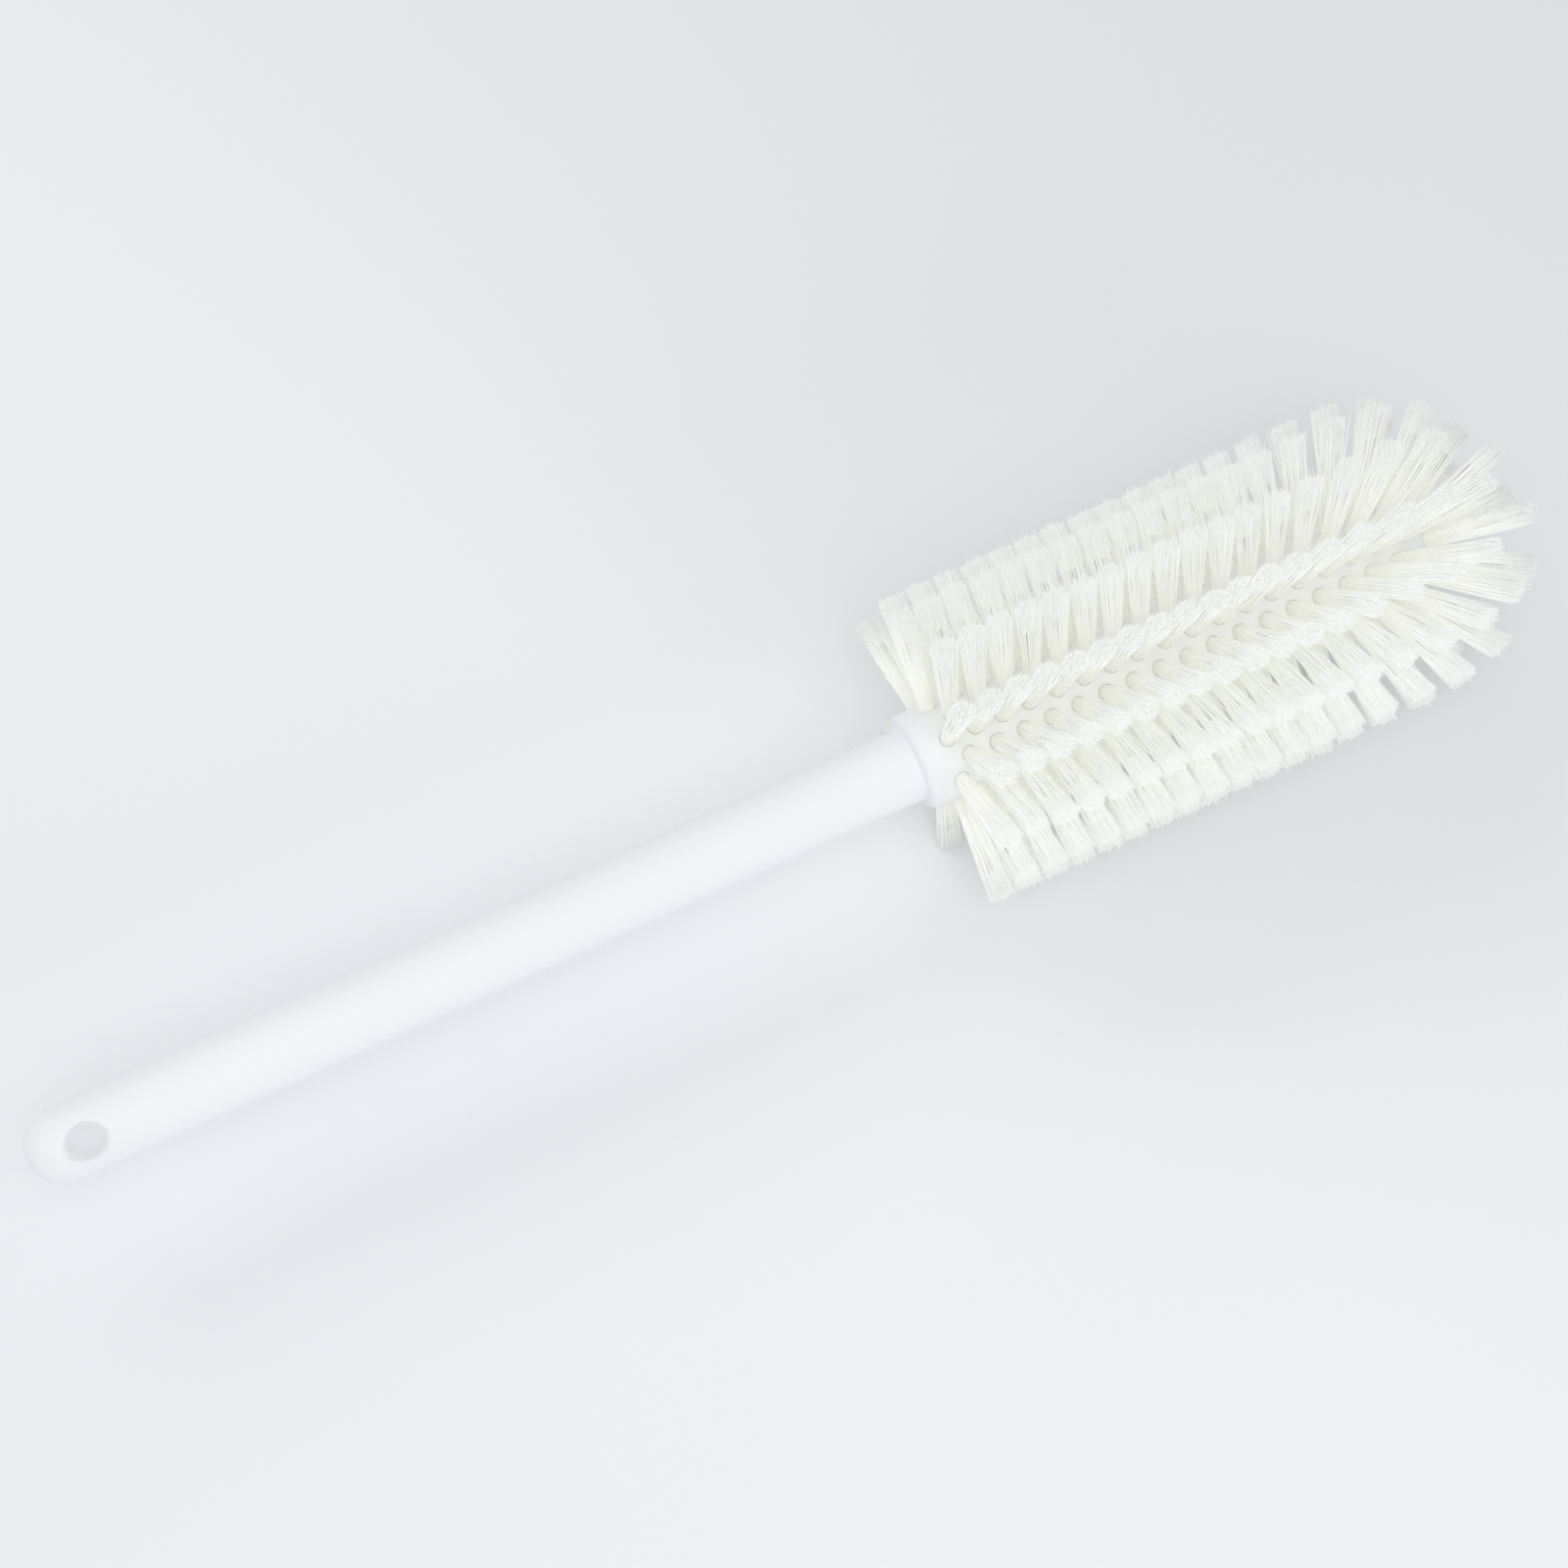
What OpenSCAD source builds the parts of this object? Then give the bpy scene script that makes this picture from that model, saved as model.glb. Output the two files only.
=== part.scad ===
// Bottle brush. One moulded white plastic body carries everything: a straight round grip with a
// hang hole and a ball end, a filleted shoulder, and a thicker core with a domed nose. The core is
// drilled with staggered rows of blind holes. Each hole holds one bundle of bristles, folded in
// half over a flat metal anchor that bites into the hole wall. The rows are square to the core
// behind the nose and fan forward over it, and all bristles are trimmed to one bullet shape.
// The brush lies on a bench: +X is the nose, +Z is up, and the lowest two rows touch Z = 0.

/* [Grip] */
// Diameter of the grip
grip_d = 19; // [16:0.5:23]
// Length from the ball end to the shoulder face
grip_l = 235; // [150:1:320]
// Diameter of the hang hole
hang_d = 9.5; // [6:0.5:11]
// Distance from the ball end to the hang hole's axis
hang_inset = 15; // [12:0.5:30]
// Turn of the hang hole about the grip, from straight up
hang_turn = 33; // [-90:1:90]
// Rounding of the hang hole's mouths
hang_round = 1.8; // [0.5:0.1:2]

/* [Core] */
// Diameter of the drilled core
core_d = 25.4; // [24.6:0.2:32]
// Straight length of the core, from the shoulder face to the start of the dome
core_l = 135; // [80:1:200]
// Fillet between the grip and the shoulder face
shoulder_fillet = 0.8; // [0.4:0.1:1]
// Rounding of the core's edge at the shoulder
shoulder_round = 2.2; // [1:0.1:2.4]

/* [Bristles] */
// Diameter of the trimmed head
head_d = 81; // [60:1:100]
// Spacing of the tufts along a row
tuft_pitch = 7.65; // [7.45:0.05:10]
// Diameter of a tuft where it is packed in its hole
tuft_d = 4.1; // [3.2:0.1:4.2]
// Diameter of a tuft at its trimmed tips
tip_d = 7.4; // [5:0.1:7.6]
// Height above the core at which a tuft starts to flare
neck_l = 2; // [2:0.1:5]
// Depth of the holes in the straight core
hole_depth = 6; // [4:0.1:6]
// Depth of the holes in the ring on the dome
dome_hole_depth = 3; // [2.4:0.1:3]
// Clearance of a tuft in its hole, on the radius and at the bottom
hole_clear = 0.05; // [0.02:0.01:0.1]
// Plain core between the shoulder face and the first tuft's axis, at least
lead_in = 8; // [4:0.1:12]
// Forward lean of the first fanned tuft of a row; the others grow with the square of their number
fan_lean = 1.25; // [0.8:0.05:1.3]
// Angle of the ring of tufts on the dome, from square to the core's axis
dome_lean = 58; // [56:0.5:60]

/* [Anchors] */
// Thickness of the anchor plate
anchor_t = 0.4; // [0.25:0.05:0.6]
// Height of the anchor plate, along the hole
anchor_h = 1.4; // [1:0.1:1.8]
// Thickness of the folded bristles under the anchor
fold_t = 1; // [0.6:0.1:1]
// How far each end of the anchor bites into the hole wall
anchor_bite = 0.3; // [0.1:0.05:0.4]
// Clearance of the anchor in its cut
anchor_clear = 0.02; // [0.01:0.01:0.05]

/* [Hidden] */
$fn = 48;

rows = 14;                 // rows of tufts round the core, one node each
fans = 5;                  // whole pitches of each row that fan forward, up to the start of the dome
row_step = 360 / rows;
grip_r = grip_d / 2;
core_r = core_d / 2;
head_r = head_d / 2;
tuft_r = tuft_d / 2;
tip_r = tip_d / 2;
hole_r = tuft_r + hole_clear;
dome_x = grip_l + core_l;  // centre of the dome, measured from the ball end
total_l = dome_x + head_r;
last_fan = dome_x - 0.4;   // foot of the last whole fanned tuft, just behind the start of the dome
breakout = 3;              // how far a hole's cutter runs past the core's skin

// The two lowest rows lie half a step to each side of straight down, and rest on their tips' inner edges.
axis_z = head_r * cos(row_step / 2 - asin(tip_r / head_r));

// Turn of row n about the core, from straight up towards the front.
function row_turn(n) = (n - 0.5) * row_step;

// Odd rows are set half a pitch back from even ones. Tuft j of a row fans when j is above zero.
function row_shift(n) = n % 2 == 1 ? 0.5 : 0;
function tuft_x(j) = last_fan + (j - fans) * tuft_pitch;
function first_tuft(n) = -floor((tuft_x(-row_shift(n)) - grip_l - lead_in) / tuft_pitch) - row_shift(n);
function lean(j) = fan_lean * pow(max(j, 0), 2);

// Height of the core's skin above its axis at x.
function skin(x) = x <= dome_x ? core_r : sqrt(pow(core_r, 2) - pow(x - dome_x, 2));

// Distance from a foot at (x, r), along a lean, to the trimmed surface: a cylinder, then a ball.
function to_cylinder(r, a) = (head_r - r) / cos(a);
function to_ball(x, r, a) =
  let (b = (x - dome_x) * sin(a) + r * cos(a))
  sqrt(pow(b, 2) + pow(head_r, 2) - pow(x - dome_x, 2) - pow(r, 2)) - b;
function trim_l(x, r, a) =
  x + to_cylinder(r, a) * sin(a) <= dome_x ? to_cylinder(r, a) : to_ball(x, r, a);

// The brush's axis, from the ball end, laid along X above the bench.
module on_axis() translate([-total_l / 2, 0, axis_z]) children();

// Puts its children at every tuft foot of row n, hole mouth at Z = 0 and hole below it.
// $depth is that hole's depth and $reach the length of that tuft's free part.
module at_row(n) {
  rotate([row_turn(n), 0, 0]) {
    for (j = [first_tuft(n) : fans + row_shift(n)])
      translate([tuft_x(j), 0, skin(tuft_x(j))]) rotate([0, lean(j), 0]) {
        $depth = hole_depth;
        $reach = trim_l(tuft_x(j), skin(tuft_x(j)), lean(j));
        children();
      }
    if (row_shift(n) == 0) translate([dome_x, 0, 0]) rotate([0, dome_lean, 0]) translate([0, 0, core_r]) {
      $depth = dome_hole_depth;
      $reach = head_r - core_r;
      children();
    }
  }
}

// Puts its children at the one tuft in the tip of the dome, its anchor turned to lie between two rows.
module at_end() translate([dome_x, 0, 0]) rotate([0, 90, 0]) rotate([0, 0, row_step]) translate([0, 0, core_r]) {
  $depth = hole_depth;
  $reach = head_r - core_r;
  children();
}

// The flat plate that the bristles are folded over, seen in its hole. A gap widens it all round.
module anchor(gap = 0) {
  l = 2 * (hole_r + anchor_bite);
  translate([-l / 2 - gap, -anchor_t / 2 - gap, hole_clear + fold_t - $depth - gap])
    cube([l + 2 * gap, anchor_t + 2 * gap, anchor_h + 2 * gap]);
}

// A drilled blind hole with the anchor's bite marks in its wall.
module hole() {
  translate([0, 0, -$depth]) cylinder(r = hole_r, h = $depth + breakout);
  anchor(anchor_clear);
}

// Half section of a folded bundle: packed in its hole, then flaring, and left long for trimming.
module bundle_section() polygon([
  [0, hole_clear - $depth], [tuft_r, hole_clear - $depth], [tuft_r, neck_l],
  [tip_r, $reach], [tip_r, $reach + breakout], [0, $reach + breakout]
]);

// The bundle, with the slot that its anchor fills.
module bundle() difference() {
  rotate_extrude() bundle_section();
  anchor(anchor_clear);
}

// The bullet shape that all tips are trimmed to.
module trim_shape() rotate([0, 90, 0]) rotate_extrude() {
  square([head_r, dome_x]);
  intersection() {
    translate([0, dome_x]) circle(r = head_r, $fn = 96);
    translate([0, dome_x]) square(head_r);
  }
}

// Half section of the moulding: ball end, grip, filleted shoulder, core and dome.
module body_profile() {
  translate([0, grip_r]) intersection() {
    circle(r = grip_r);
    translate([0, -grip_r]) square(grip_r);
  }
  translate([0, grip_r]) square([grip_r, grip_l - grip_r + shoulder_round]);
  difference() {
    translate([0, grip_l - shoulder_fillet]) square([grip_r + shoulder_fillet, shoulder_fillet]);
    translate([grip_r + shoulder_fillet, grip_l - shoulder_fillet]) circle(r = shoulder_fillet);
  }
  translate([0, grip_l]) square([core_r - shoulder_round, core_l]);
  translate([0, grip_l + shoulder_round]) square([core_r, core_l - shoulder_round]);
  translate([core_r - shoulder_round, grip_l + shoulder_round]) circle(r = shoulder_round);
  translate([0, dome_x]) intersection() {
    circle(r = core_r);
    square(core_r);
  }
}

// The through hole for a hook. Its section widens at both mouths, so that they round over into the skin.
module hang_hole() translate([hang_inset, 0, 0]) rotate([hang_turn, 0, 0]) rotate_extrude()
  for (end = [0, 1]) mirror([0, end]) difference() {
    square([hang_d / 2 + 0.8 * hang_round, 2 * grip_r]);
    translate([hang_d / 2, 0]) square([hang_round, grip_r - hang_round]);
    translate([hang_d / 2 + hang_round, grip_r - hang_round]) circle(r = hang_round);
  }

module handle() color("whitesmoke") on_axis() difference() {
  rotate([0, 90, 0]) rotate_extrude() body_profile();
  hang_hole();
  for (n = [1 : rows]) at_row(n) hole();
  at_end() hole();
}

module tuft_row(n) color("ivory") on_axis() intersection() {
  at_row(n) bundle();
  trim_shape();
}

module anchor_row(n) color("silver") on_axis() at_row(n) anchor();

module end_tuft() color("ivory") on_axis() at_end() difference() {
  rotate_extrude() intersection() {
    bundle_section();
    translate([0, -core_r]) circle(r = head_r, $fn = 96);
  }
  anchor(anchor_clear);
}

module end_anchor() color("silver") on_axis() at_end() anchor();

handle();
end_tuft();
end_anchor();
tuft_row(1);  // tuft_row_01
tuft_row(2);  // tuft_row_02
tuft_row(3);  // tuft_row_03
tuft_row(4);  // tuft_row_04
tuft_row(5);  // tuft_row_05
tuft_row(6);  // tuft_row_06
tuft_row(7);  // tuft_row_07
tuft_row(8);  // tuft_row_08
tuft_row(9);  // tuft_row_09
tuft_row(10);  // tuft_row_10
tuft_row(11);  // tuft_row_11
tuft_row(12);  // tuft_row_12
tuft_row(13);  // tuft_row_13
tuft_row(14);  // tuft_row_14
anchor_row(1);  // anchor_row_01
anchor_row(2);  // anchor_row_02
anchor_row(3);  // anchor_row_03
anchor_row(4);  // anchor_row_04
anchor_row(5);  // anchor_row_05
anchor_row(6);  // anchor_row_06
anchor_row(7);  // anchor_row_07
anchor_row(8);  // anchor_row_08
anchor_row(9);  // anchor_row_09
anchor_row(10);  // anchor_row_10
anchor_row(11);  // anchor_row_11
anchor_row(12);  // anchor_row_12
anchor_row(13);  // anchor_row_13
anchor_row(14);  // anchor_row_14
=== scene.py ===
"""Looks of the bottle brush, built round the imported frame.

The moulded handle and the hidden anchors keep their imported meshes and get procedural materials.
Each packed row of solid tufts is replaced by the row's real bristles: straight filaments that leave
their hole as a packed bundle, splay a little and end on the trimmed bullet shape of the head.
The brush's own lengths are in millimetres, with X measured from the ball end, and are turned into
metres where they meet Blender. The camera, the lamps and the floor are placed in metres.
"""
import math

import bpy
import numpy as np
from mathutils import Matrix, Vector


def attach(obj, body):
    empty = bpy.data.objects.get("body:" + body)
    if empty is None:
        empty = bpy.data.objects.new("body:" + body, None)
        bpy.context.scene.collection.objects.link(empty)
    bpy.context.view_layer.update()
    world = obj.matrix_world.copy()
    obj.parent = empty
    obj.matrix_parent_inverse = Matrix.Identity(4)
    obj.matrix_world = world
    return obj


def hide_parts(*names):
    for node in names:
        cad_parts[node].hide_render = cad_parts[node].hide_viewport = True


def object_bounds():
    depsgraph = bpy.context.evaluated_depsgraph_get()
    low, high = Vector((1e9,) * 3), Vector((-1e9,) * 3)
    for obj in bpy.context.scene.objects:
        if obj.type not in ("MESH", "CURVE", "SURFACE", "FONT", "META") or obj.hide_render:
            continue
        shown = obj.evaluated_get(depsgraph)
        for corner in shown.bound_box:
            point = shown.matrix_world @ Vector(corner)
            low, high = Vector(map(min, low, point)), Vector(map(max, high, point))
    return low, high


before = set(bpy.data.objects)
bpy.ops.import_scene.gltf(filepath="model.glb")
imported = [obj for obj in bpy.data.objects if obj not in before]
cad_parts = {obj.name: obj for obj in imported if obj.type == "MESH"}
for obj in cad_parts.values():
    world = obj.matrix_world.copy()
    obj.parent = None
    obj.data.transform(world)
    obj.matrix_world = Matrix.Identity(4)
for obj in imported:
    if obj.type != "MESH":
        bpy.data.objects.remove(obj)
cad_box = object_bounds()
MM = 0.001

# ================================================================ sizes, as in the part's source (mm)
GRIP_L = 235.0                          # from the ball end to the shoulder face
CORE_L = 135.0                          # straight length of the drilled core
CORE_R = 12.7
HEAD_R = 40.5                           # half width of the trimmed head
DOME_X = GRIP_L + CORE_L                # centre of the dome
TOTAL_L = DOME_X + HEAD_R
HANG_R = 4.75                           # half width of the hang hole
HANG_INSET = 15.0                       # from the ball end to the hang hole's axis
HANG_TURN = math.radians(33.0)          # of the hang hole, from straight up
ROWS = 14                               # rows of tufts round the core
ROW_STEP = 360.0 / ROWS                 # degrees from one row to the next
PITCH = 7.65                            # from one tuft to the next along a row
LEAD_IN = 8.0                           # from the shoulder face to the first tuft, at least
FANS = 5                                # whole pitches of a row that fan forward
LAST_FAN = DOME_X - 0.4                 # foot of the last whole fanned tuft
FAN_LEAN = 1.25                         # degrees, of the first fanned tuft; grows with the number squared
DOME_LEAN = 58.0                        # degrees, of the ring of tufts on the dome
TUFT_R = 2.05                           # half width of a tuft packed in its hole
TIP_R = 3.7                             # half width of a solid tuft at its tips
REACH = HEAD_R - CORE_R                 # height of a straight tuft above the core
# Height of the brush's axis when its two lowest rows rest on the bench.
AXIS_Z = HEAD_R * math.cos(math.radians(ROW_STEP / 2) - math.asin(TIP_R / HEAD_R))

# ================================================================ bristles (mm)
FILAMENTS = 190   # in one tuft
FILAMENT_R = 0.145                      # half width of one filament
FILAMENT_SIDES = 3
FILAMENT_TURN = 2.39996                 # radians from one filament to the next, which fill a disc evenly
FIRST_TURN = 6.28                       # radians, the range of the first filament's turn
WHOLE_FROM = 0.76                       # share of the tuft's width outside which a filament shows whole
UPPER_FROM = 0.55                       # share of its length above which any other filament shows
SPREAD = (3.75, 3.0)                    # half width of the trimmed tips, along the row and across it
NARROWEST = 0.94                        # width of the narrowest tuft, beside that spread
SWAY = 0.12                             # how far a tuft's tips lean off their place together
TIP_SCATTER = 0.17                      # how far each tip is off by itself
STRAY_SHARE = 0.03                      # share of the filaments that stand off the tuft
STRAY_OFF = (1.05, 1.45)                # how far their tips are out, beside their own place
BOW = 0.1                               # how far a filament is bent at its middle
RAGGED = 0.7                            # how unevenly the tips are trimmed
RAGGED_INSIDE = 0.5                     # share of that in the middle of a tuft, rising by 1 to its edge
LEAST_TRIM = 0.05                       # how far the longest trimmed tip ends below the trimmed shape
LONG_SHARE = 0.05                       # share of the filaments that the trimming missed
LEFT_LONG = (0.1, 1.0)                  # how far they stand out
PACKED_H = 0.3                          # height above the hole's mouth up to which a tuft stays packed
ROOT_DEPTH = 3.4                        # how far the filaments are modelled into a hole in the core
DOME_ROOT_DEPTH = 0.5                   # and into the shallow holes of the ring on the dome
SEED = 7

# The inside of a tuft is one fluted body, with a narrower crown sunk below its rim.
INSIDE_WIDTH = 0.84                     # share of the tuft's width
FLUTES = 36
FLUTE_DEPTH = 0.12                      # share of the inside's width
INSIDE_SHORT = 8.0                      # how far its rim ends below the tips
INSIDE_RAGGED = 0.5                     # how unevenly
CROWN_WIDTH = 0.2                       # share of the inside's width
CROWN_HEIGHT = 0.6                      # share of a straight tuft's height

# How far along a tuft each ring of points counts, which sets its colour, with the painted shade in the
# tuft's depth, and its glow: 0 is the root and 1 the tip.
ALONG_WHOLE = (0.0, 0.1, 0.5, 1.0)
ALONG_UPPER = (UPPER_FROM, 1.0)
ALONG_INSIDE = (0.0, 0.1, 0.7, 0.6)

# ================================================================ camera, lamps and floor (m)
CAMERA_PLACE = (-0.139124, -0.287654, 0.755644)
CAMERA_TURN = (24.57453, 0.47322, -25.99381)  # degrees
CAMERA_LENS = 72.351                    # mm
CAMERA_SENSOR = 36.0                    # mm
LAMPS = [  # name, place, point that it faces, width and height, watts
    ("softbox_top", (-0.12, -0.45, 0.95), (0.05, 0.0, 0.0), (0.6, 0.6), 2.2),
    ("softbox_front", (0.15, -1.05, 0.42), (0.1, 0.0, 0.03), (1.0, 0.6), 2.4),
    ("softbox_back", (-0.05, 0.8, 0.8), (0.05, 0.0, 0.03), (1.2, 0.6), 2.1),
    ("softbox_left", (-0.95, 0.15, 0.6), (-0.05, 0.0, 0.03), (0.8, 0.6), 1.2),
]
WORLD_TINT = (0.975, 0.98, 1.0)
WORLD_STRENGTH = 0.63
FLOOR_HALF = 4.0                        # half width of the floor
PAPER_TURN = math.radians(-23)          # direction in which the painted light and shade on the paper changes
PAPER_REACH = 0.3                       # how far from the middle it changes
# Painted light and shade on the paper: lightest in the middle, darkest beyond the head.
PAPER_TINTS_AND_SHADE = [(0.0, (0.84, 0.845, 0.868)), (0.5, (0.868, 0.873, 0.895)), (1.0, (0.808, 0.813, 0.835))]

# ================================================================ materials: colours, scales and glow
PLASTIC_TINTS = [(0.3, (0.86, 0.87, 0.89)), (0.7, (0.875, 0.885, 0.905))]
PLASTIC_CLOUDS = 18.0                   # clouds to the metre
PLASTIC_MARKS = (40.0, 900.0, 900.0)    # marks to the metre, along the handle and across it
PLASTIC_ROUGHNESS = (0.42, 0.5)
PLASTIC_RIPPLE = 0.0003                 # depth in metres
# Painted light on the drilled core: lighter and warmer than the handle, for light that the bristles pass on
# to it.
CORE_BRISTLE_LIGHT = (0.92, 0.925, 0.905)
CORE_BRISTLE_LIGHT_FROM = 2.25                   # mm from the shoulder face to where the painted light on the core starts
CORE_BRISTLE_LIGHT_TO = 14.25                    # and to where it is reached
WALL_TINT = (0.97, 1.0, 0.92)
WALL_GLOW = 0.1                         # light that comes through the wall of the hang hole
WALL_IN = 0.02                          # mm beyond the wall up to which there is all of it
WALL_OUT = 0.15                         # and from which there is none
# The tip colour is the filaments' own; darker and yellower towards the root is painted shade deep in the
# tuft.
BRISTLE_TINTS_AND_DEPTH_SHADE = [(0.0, (0.912, 0.918, 0.855)), (0.4, (0.925, 0.935, 0.895)), (1.0, (0.93, 0.94, 0.93))]
BRISTLE_GLOW_TINT = (1.0, 1.0, 0.95)
BRISTLE_GLOW = [(0.0, 0.155), (0.4, 0.203), (1.0, 0.175)]
DARKEST_FILAMENT = 0.985                # beside the lightest
STEEL_TINTS = [(0.3, (0.55, 0.55, 0.54)), (0.7, (0.68, 0.68, 0.67))]
STEEL_GRAIN = 2500.0                    # grains to the metre


# ================================================================ camera and light
def place_object(name, data, place, turn):
    obj = bpy.data.objects.new(name, data)
    obj.location = place
    obj.rotation_euler = turn
    bpy.context.scene.collection.objects.link(obj)
    return obj


def add_camera():
    cam = bpy.data.cameras.new("camera")
    cam.sensor_width = CAMERA_SENSOR
    cam.lens = CAMERA_LENS
    cam.clip_start = 0.01
    turn = [math.radians(a) for a in CAMERA_TURN]
    bpy.context.scene.camera = place_object("camera", cam, CAMERA_PLACE, turn)


def add_lamp(name, place, aim, size, watts):
    lamp = bpy.data.lights.new(name, "AREA")
    lamp.shape = "RECTANGLE"
    lamp.size, lamp.size_y = size
    lamp.energy = watts
    turn = (Vector(aim) - Vector(place)).to_track_quat("-Z", "Y").to_euler()
    place_object(name, lamp, place, turn)


def add_world():
    world = bpy.data.worlds.new("studio")
    world.use_nodes = True
    background = world.node_tree.nodes["Background"]
    background.inputs["Color"].default_value = (*WORLD_TINT, 1.0)
    background.inputs["Strength"].default_value = WORLD_STRENGTH
    bpy.context.scene.world = world


# ================================================================ materials
def node_material(name):
    mat = bpy.data.materials.new(name)
    mat.use_nodes = True
    return mat, mat.node_tree, mat.node_tree.nodes["Principled BSDF"]


def feed(tree, socket, value):
    """Links an output to the socket, or sets the socket's own value."""
    if isinstance(value, bpy.types.NodeSocket):
        tree.links.new(value, socket)
    else:
        socket.default_value = value


def add(tree, kind, **values):
    """A node with its sockets fed, and its properties set, by name."""
    node = tree.nodes.new(kind)
    for key, value in values.items():
        if key in node.inputs:
            feed(tree, node.inputs[key], value)
        else:
            setattr(node, key, value)
    return node


def shade(tree, shader, **values):
    """Feeds the shader's sockets. An underscore in a name stands for a space."""
    for key, value in values.items():
        feed(tree, shader.inputs[key.replace("_", " ")], value)


def ramp(tree, stops, value):
    """The colour of a ramp with (place, colour) stops, at a value."""
    node = add(tree, "ShaderNodeValToRGB", Fac=value)
    points = node.color_ramp.elements
    while len(points) < len(stops):
        points.new(0.5)
    for point, (place, colour) in zip(points, stops):
        point.position = place
        point.color = (*colour, 1.0)
    return node.outputs["Color"]


def between(tree, value, start, end, low=0.0, high=1.0):
    """A value's place between start and end, as a number from low to high."""
    limits = {"From Min": start, "From Max": end, "To Min": low, "To Max": high}
    return add(tree, "ShaderNodeMapRange", Value=value, **limits).outputs["Result"]


def object_place(tree):
    return add(tree, "ShaderNodeTexCoord").outputs["Object"]


def along_x(tree, place):
    return add(tree, "ShaderNodeSeparateXYZ", Vector=place).outputs["X"]


def plastic_colour(tree, place):
    """Faint clouding on the handle; on the drilled core, a lighter, warmer painted light from the bristles.
    """
    cloud = add(tree, "ShaderNodeTexNoise", Vector=place, Scale=PLASTIC_CLOUDS, Detail=3.0)
    shoulder = GRIP_L - TOTAL_L / 2
    start, end = (shoulder + CORE_BRISTLE_LIGHT_FROM) * MM, (shoulder + CORE_BRISTLE_LIGHT_TO) * MM
    # share of the painted light from the bristles, rising along the start of the core
    drilled = between(tree, along_x(tree, place), start, end)
    mix = add(tree, "ShaderNodeMix", data_type="RGBA", Factor=drilled)
    colour_a, bristle_light_colour = mix.inputs[6], mix.inputs[7]
    feed(tree, colour_a, ramp(tree, PLASTIC_TINTS, cloud.outputs["Fac"]))
    feed(tree, bristle_light_colour, (*CORE_BRISTLE_LIGHT, 1.0))
    return mix.outputs[2]


def wall_glow(tree, place):
    """Full on the wall of the hang hole and none outside it, by the distance from the hole's axis."""
    off = add(tree, "ShaderNodeVectorMath", operation="SUBTRACT")
    feed(tree, off.inputs[0], place)
    feed(tree, off.inputs[1], ((HANG_INSET - TOTAL_L / 2) * MM, 0.0, AXIS_Z * MM))
    square_to = add(tree, "ShaderNodeVectorMath", operation="CROSS_PRODUCT")
    feed(tree, square_to.inputs[0], off.outputs["Vector"])
    feed(tree, square_to.inputs[1], (0.0, -math.sin(HANG_TURN), math.cos(HANG_TURN)))
    distance = add(tree, "ShaderNodeVectorMath", operation="LENGTH")
    feed(tree, distance.inputs[0], square_to.outputs["Vector"])
    outside, inside = (HANG_R + WALL_OUT) * MM, (HANG_R + WALL_IN) * MM
    return between(tree, distance.outputs["Value"], outside, inside, 0.0, WALL_GLOW)


def moulded_plastic():
    """White moulded plastic, with fine lengthwise marks that show in its gloss and as a slight ripple.

    The plastic is milky, so the wall of the hang hole gets light through the material round it, which a
    small emission on that wall stands in for.
    """
    mat, tree, shader = node_material("moulded_plastic")
    place = object_place(tree)
    drawn = add(tree, "ShaderNodeMapping", Vector=place, Scale=PLASTIC_MARKS).outputs["Vector"]
    marks = add(tree, "ShaderNodeTexNoise", Vector=drawn, Scale=1.0, Detail=2.0).outputs["Fac"]
    ripple = add(tree, "ShaderNodeBump", Strength=0.08, Distance=PLASTIC_RIPPLE, Height=marks)
    shade(tree, shader, Base_Color=plastic_colour(tree, place), IOR=1.5)
    rough = between(tree, marks, 0.0, 1.0, *PLASTIC_ROUGHNESS)
    shade(tree, shader, Roughness=rough, Normal=ripple.outputs["Normal"])
    shade(tree, shader, Emission_Color=(*WALL_TINT, 1.0), Emission_Strength=wall_glow(tree, place))
    mat.cycles.emission_sampling = "NONE"
    return mat


def bristle_plastic():
    """Milky filament with its own tone: whiter at the tips, painted shade darker and yellower in the tuft's
    depth.

    Hundreds of milky filaments pass light on to one another. A small emission, least at the root, stands
    in for that light. It is found by the bounces alone, which keeps the render short.
    """
    mat, tree, shader = node_material("bristle_plastic")
    along = add(tree, "ShaderNodeAttribute", attribute_name="along").outputs["Fac"]
    tone = add(tree, "ShaderNodeAttribute", attribute_name="tone").outputs["Fac"]
    colour = add(tree, "ShaderNodeVectorMath", operation="SCALE")
    feed(tree, colour.inputs[0], ramp(tree, BRISTLE_TINTS_AND_DEPTH_SHADE, along))
    feed(tree, colour.inputs["Scale"], between(tree, tone, 0.0, 1.0, DARKEST_FILAMENT, 1.0))
    glow = ramp(tree, [(stop, (level, level, level)) for stop, level in BRISTLE_GLOW], along)
    shade(tree, shader, Base_Color=colour.outputs["Vector"], Roughness=0.42, IOR=1.5)
    shade(tree, shader, Emission_Color=(*BRISTLE_GLOW_TINT, 1.0), Emission_Strength=glow)
    mat.cycles.emission_sampling = "NONE"
    return mat


def anchor_steel():
    """Bright flat wire, cut and drawn: a fine grain in a slightly uneven tone."""
    mat, tree, shader = node_material("anchor_steel")
    place = object_place(tree)
    grain = add(tree, "ShaderNodeTexNoise", Vector=place, Scale=STEEL_GRAIN, Detail=2.0)
    colour = ramp(tree, STEEL_TINTS, grain.outputs["Fac"])
    shade(tree, shader, Base_Color=colour, Metallic=1.0, Roughness=0.35)
    return mat


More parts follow.
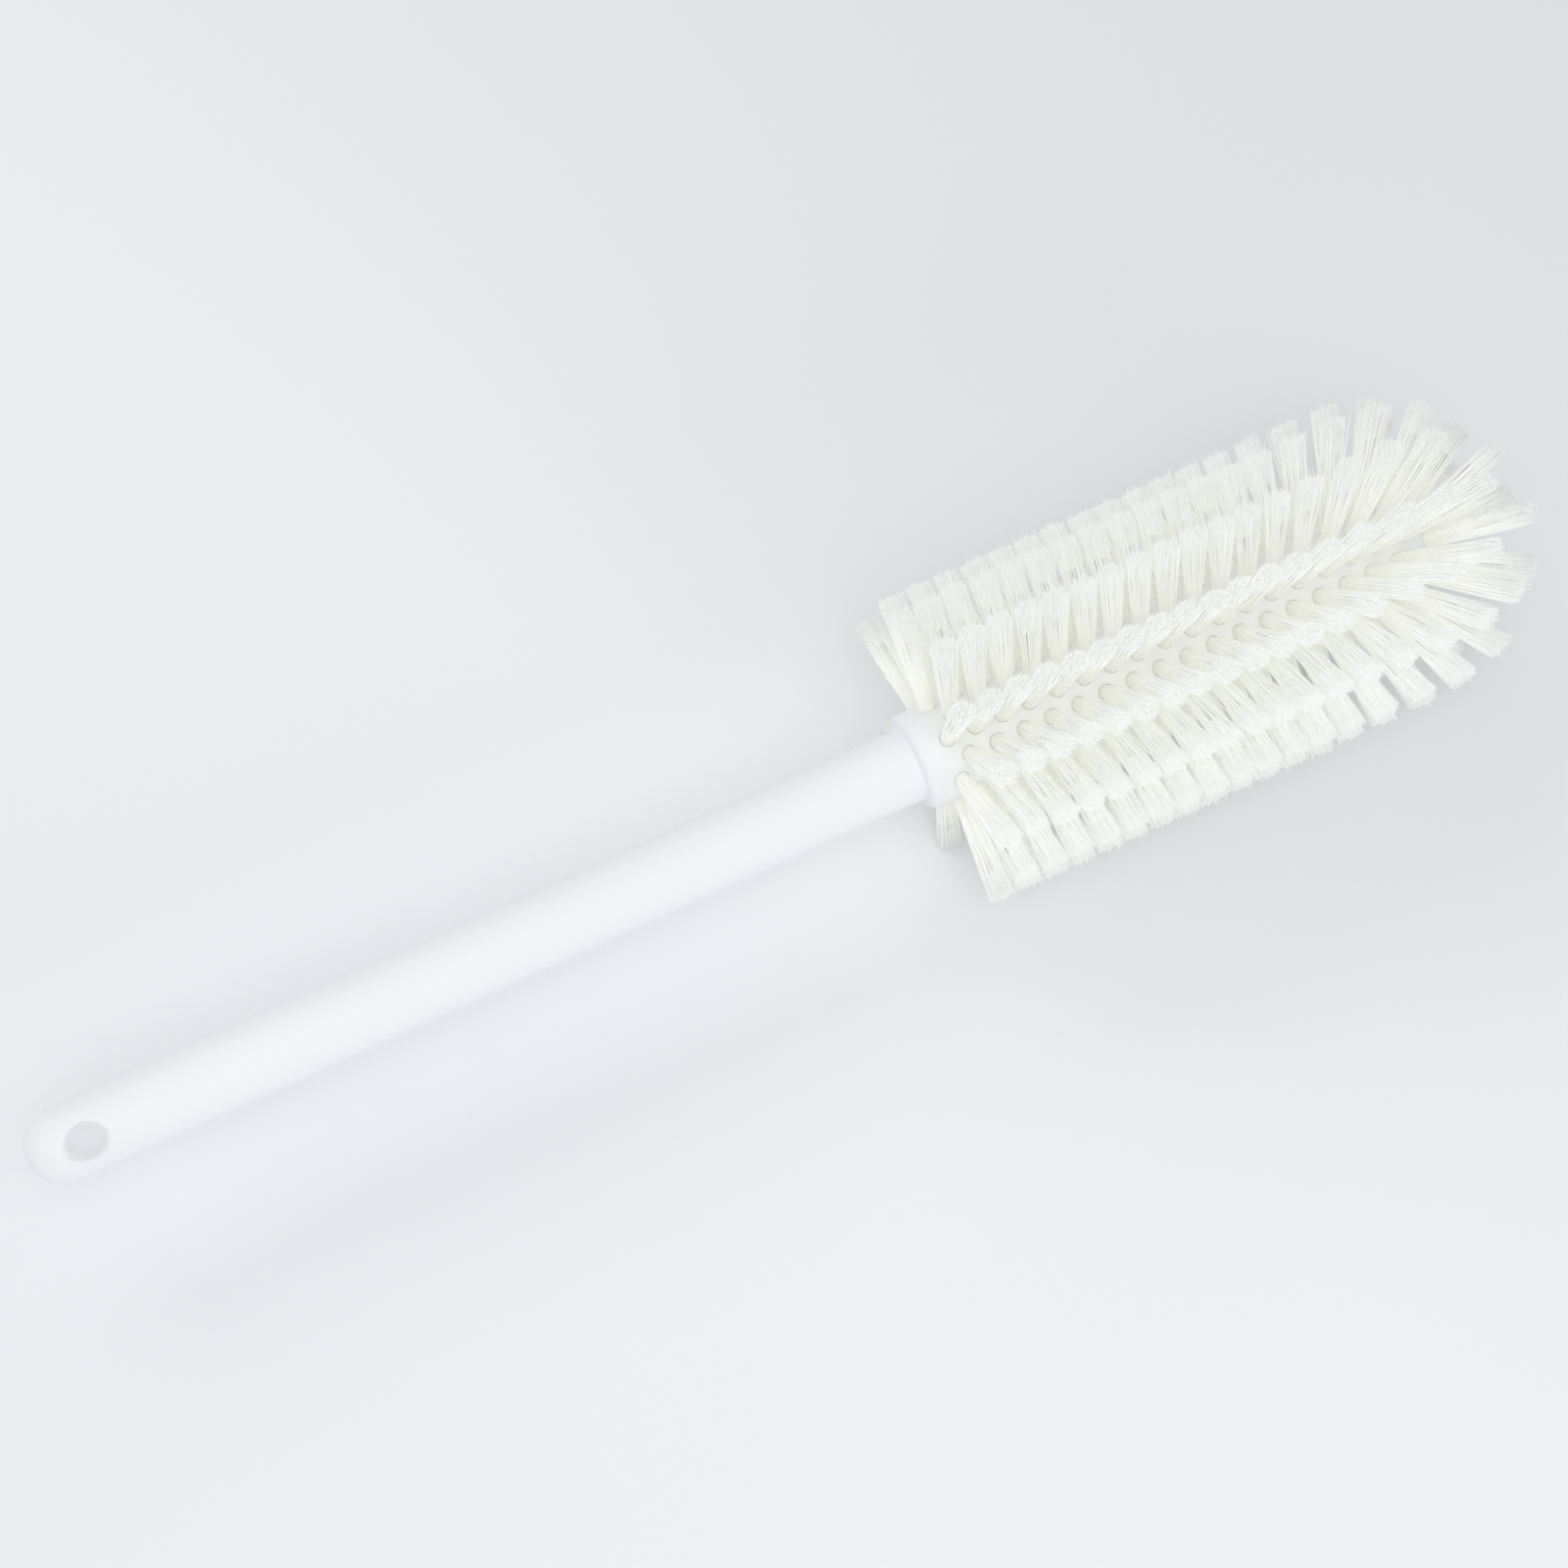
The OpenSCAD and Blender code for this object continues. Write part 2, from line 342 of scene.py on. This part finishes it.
def floor_paper():
    """Pale paper with painted light and shade: lightest in the middle, darker beyond the head than at the
    handle's end.
    """
    mat, tree, shader = node_material("floor")
    place = object_place(tree)
    across = add(tree, "ShaderNodeMapping", Vector=place, Rotation=(0.0, 0.0, PAPER_TURN))
    change = between(tree, along_x(tree, across.outputs["Vector"]), -PAPER_REACH, PAPER_REACH)
    shade(tree, shader, Base_Color=ramp(tree, PAPER_TINTS_AND_SHADE, change), Roughness=0.9, Specular_IOR_Level=0.1)
    return mat


def add_floor():
    mesh = bpy.data.meshes.new("floor")
    s = FLOOR_HALF
    mesh.from_pydata([(-s, -s, 0), (s, -s, 0), (s, s, 0), (-s, s, 0)], [], [(0, 1, 2, 3)])
    mesh.materials.append(floor_paper())
    floor = place_object("floor", mesh, (0.0, 0.0, 0.0), (0.0, 0.0, 0.0))


# ================================================================ where the tufts stand
def skin(x):
    """Height of the core's surface above its axis at x."""
    return CORE_R if x <= DOME_X else math.sqrt(CORE_R**2 - (x - DOME_X) ** 2)


def tuft_x(j):
    """Foot of tuft j of a row, which fans forward when j is above zero."""
    return LAST_FAN + (j - FANS) * PITCH


def turned(degrees, axis):
    return Matrix.Rotation(math.radians(degrees), 4, axis)


def dome_foot(lean):
    """A foot on the dome, or at its tip. Z points out along the tuft, as on every foot."""
    return Matrix.Translation((DOME_X, 0, 0)) @ turned(lean, "Y") @ Matrix.Translation((0, 0, CORE_R))


def row_feet(n):
    """The feet of row n, as (matrix from foot to brush, root depth)."""
    back = 0.5 if n % 2 else 0.0
    row_turn = turned((n - 0.5) * ROW_STEP, "X")
    first = -math.floor((tuft_x(-back) - GRIP_L - LEAD_IN) / PITCH) - back
    feet = []
    for step in range(int(FANS + back - first) + 1):
        j = first + step
        x = tuft_x(j)
        foot = Matrix.Translation((x, 0, skin(x))) @ turned(FAN_LEAN * max(j, 0.0) ** 2, "Y")
        feet.append((row_turn @ foot, ROOT_DEPTH))
    if not back:
        feet.append((row_turn @ dome_foot(DOME_LEAN), DOME_ROOT_DEPTH))
    return feet


def end_feet():
    return [(dome_foot(90), ROOT_DEPTH)]


def unit(v):
    return v / np.linalg.norm(v, axis=-1)[..., None]


ALMOST_ALONG = 1e-9  # square of the least slope against the axis, with which a line still meets the tube


def to_trim(start, way):
    """Distance from points along unit directions to the trimmed bullet shape: a tube, then a ball."""
    y2 = start[:, 1] ** 2 + start[:, 2] ** 2
    b = start[:, 1] * way[:, 1] + start[:, 2] * way[:, 2]
    a = np.maximum(way[:, 1] ** 2 + way[:, 2] ** 2, ALMOST_ALONG)
    tube = (-b + np.sqrt(b * b - a * (y2 - HEAD_R**2))) / a
    x = start[:, 0] - DOME_X
    b = x * way[:, 0] + b
    ball = -b + np.sqrt(np.maximum(b * b - (x * x + y2 - HEAD_R**2), 0.0))
    return np.where(x + tube * way[:, 0] <= 0, tube, ball)


def trimmed(low, high, gap):
    """Points on the lines from low through high, short of the trimmed surface by gap."""
    way = unit(high - low)
    return low + way * (to_trim(low, way) - gap)[:, None], way


# ================================================================ bristles
class Strands:
    """Collects tubes as rings of points, then makes one mesh of them."""

    KEEP_IN = 0.00001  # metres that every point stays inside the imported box

    def __init__(self):
        self.points = []
        self.faces = []
        self.smooth = []
        self.along = []
        self.tone = []
        self.count = 0

    def add(self, rings, along, tone):
        """Adds tubes that are open at the root and capped at the top.

        rings is tube x ring x side x 3. along is for each ring, tone for each tube or tube x side.
        """
        tubes_n, rings_n, sides_n, _ = rings.shape
        first = self.count + np.arange(tubes_n)[:, None] * (rings_n * sides_n)
        side = np.arange(sides_n)
        ring = np.arange(rings_n - 1)[:, None] * sides_n
        here = (ring + side).ravel()
        beside = (ring + (side + 1) % sides_n).ravel()
        quads = np.stack([here, beside, beside + sides_n, here + sides_n], 1)
        quads = (first[:, :, None] + quads[None]).reshape(-1, 4)
        caps = first + (rings_n - 1) * sides_n + side
        self.faces += quads.tolist() + caps.tolist()
        self.smooth += [True] * len(quads) + [False] * len(caps)
        self.points.append(rings.reshape(-1, 3))
        self.along.append(np.tile(np.repeat(along, sides_n), tubes_n))
        tone = np.broadcast_to(tone.reshape(tubes_n, 1, -1), (tubes_n, rings_n, sides_n))
        self.tone.append(tone.ravel())
        self.count += tubes_n * rings_n * sides_n

    def mesh(self, name):
        points = np.concatenate(self.points)
        points[:, 0] -= TOTAL_L / 2
        points[:, 2] += AXIS_Z
        low, high = np.array(cad_box)
        points = np.clip(points * MM, low + self.KEEP_IN, high - self.KEEP_IN)
        mesh = bpy.data.meshes.new(name)
        mesh.from_pydata(points.tolist(), [], self.faces)
        for key, values in (("along", self.along), ("tone", self.tone)):
            layer = mesh.attributes.new(key, "FLOAT", "POINT")
            layer.data.foreach_set("value", np.concatenate(values).astype(np.float32))
        mesh.polygons.foreach_set("use_smooth", self.smooth)
        mesh.update()
        return place_object(name, mesh, (0.0, 0.0, 0.0), (0.0, 0.0, 0.0))


def spots(angle, share):
    """Points at these angles and shares of a circle's radius."""
    return np.stack([np.cos(angle), np.sin(angle)], 1) * share[:, None]


def tubes(line, way, rng):
    """Rings of a filament's width round each point of each line."""
    across = unit(np.cross(way, rng.normal(0, 1, way.shape)))
    other = np.cross(way, across)
    angle = 2 * math.pi * np.arange(FILAMENT_SIDES) / FILAMENT_SIDES
    ring = across[:, None] * np.cos(angle)[:, None] + other[:, None] * np.sin(angle)[:, None]
    return line[:, :, None, :] + ring[:, None] * FILAMENT_R


class Tuft:
    """One tuft on its foot: a packed, fluted inside and the filaments that show round and above it."""

    def __init__(self, foot, root, rng):
        self.foot = np.array(foot)
        self.root = root
        self.rng = rng
        self.sway = rng.normal(0, SWAY, 2)
        self.wide = (np.array(SPREAD) - FILAMENT_R) * rng.uniform(NARROWEST, 1.0)

    def place(self, across, height):
        """Takes points across the tuft, at a height above its foot, to the brush's own axes."""
        height = np.broadcast_to(np.asarray(height, float), across.shape[:-1])
        return np.concatenate([across, height[..., None]], -1) @ self.foot[:3, :3].T + self.foot[:3, 3]

    def add_inside(self, strands):
        sides = np.arange(2 * FLUTES)
        circle = spots(sides * math.pi / FLUTES, INSIDE_WIDTH * np.where(sides % 2, 1.0, 1.0 - FLUTE_DEPTH))
        base = self.place(circle * TUFT_R, -self.root)
        low = self.place(circle * TUFT_R, PACKED_H)
        high = self.place(circle * self.wide + self.sway, REACH)
        rim, _ = trimmed(low, high, INSIDE_SHORT + self.rng.normal(0, INSIDE_RAGGED, len(sides)))
        crown = circle * self.wide * CROWN_WIDTH + self.sway * CROWN_HEIGHT
        rings = np.stack([base, low, rim, self.place(crown, REACH * CROWN_HEIGHT)])
        strands.add(rings[None], ALONG_INSIDE, self.rng.random(len(sides))[None])

    def add_filaments(self, strands):
        """Those on the outside are made whole, the others from within the inside up to their tips."""
        rng = self.rng
        number = np.arange(FILAMENTS)
        share = np.sqrt((number + 0.5) / FILAMENTS)
        spot = spots(number * FILAMENT_TURN + rng.uniform(0, FIRST_TURN), share)
        tip = spot * self.wide + self.sway + rng.normal(0, TIP_SCATTER, (FILAMENTS, 2))
        stray = rng.random(FILAMENTS) < STRAY_SHARE
        tip[stray] *= rng.uniform(*STRAY_OFF, (int(stray.sum()), 1))
        gap = np.abs(rng.normal(0, RAGGED, FILAMENTS)) * (RAGGED_INSIDE + share) + LEAST_TRIM
        left_long = rng.random(FILAMENTS) < LONG_SHARE
        gap[left_long] = -rng.uniform(*LEFT_LONG, int(left_long.sum()))
        bow = rng.normal(0, BOW, (FILAMENTS, 3))

        base = spot * (TUFT_R - FILAMENT_R)
        low = self.place(base, PACKED_H)
        end, way = trimmed(low, self.place(tip, REACH), gap)
        whole = share > WHOLE_FROM
        lines = np.stack([self.place(base, -self.root), low, (low + end) / 2 + bow, end], 1)
        self.add_lines(strands, lines[whole], way[whole], ALONG_WHOLE)
        lines = np.stack([low + (end - low) * UPPER_FROM + bow, end], 1)
        self.add_lines(strands, lines[~whole], way[~whole], ALONG_UPPER)

    def add_lines(self, strands, lines, way, along):
        rings = tubes(lines, way, self.rng)
        strands.add(rings, along, self.rng.random(len(lines)))


def bristle_row(name, feet, rng):
    """One piece with all filaments of the tufts on these feet."""
    strands = Strands()
    for foot, root in feet:
        tuft = Tuft(foot, root, rng)
        tuft.add_inside(strands)
        tuft.add_filaments(strands)
    return strands.mesh(name)


# ================================================================ build
add_camera()
add_floor()
add_world()
for lamp in LAMPS:
    add_lamp(*lamp)
bpy.context.scene.view_settings.view_transform = "Standard"

plastic = moulded_plastic()
steel = anchor_steel()
fibre = bristle_plastic()
for name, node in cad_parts.items():
    node.data.materials.clear()
    node.data.materials.append(plastic if name == "handle" else steel if "anchor" in name else fibre)

rng = np.random.default_rng(SEED)
rows = [(f"bristles_{n:02d}", f"tuft_row_{n:02d}", row_feet(n)) for n in range(1, ROWS + 1)]
for name, node, feet in rows + [("bristles_end", "end_tuft", end_feet())]:
    piece = bristle_row(name, feet, rng)
    piece.data.materials.append(fibre)
    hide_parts(node)
    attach(piece, "root")
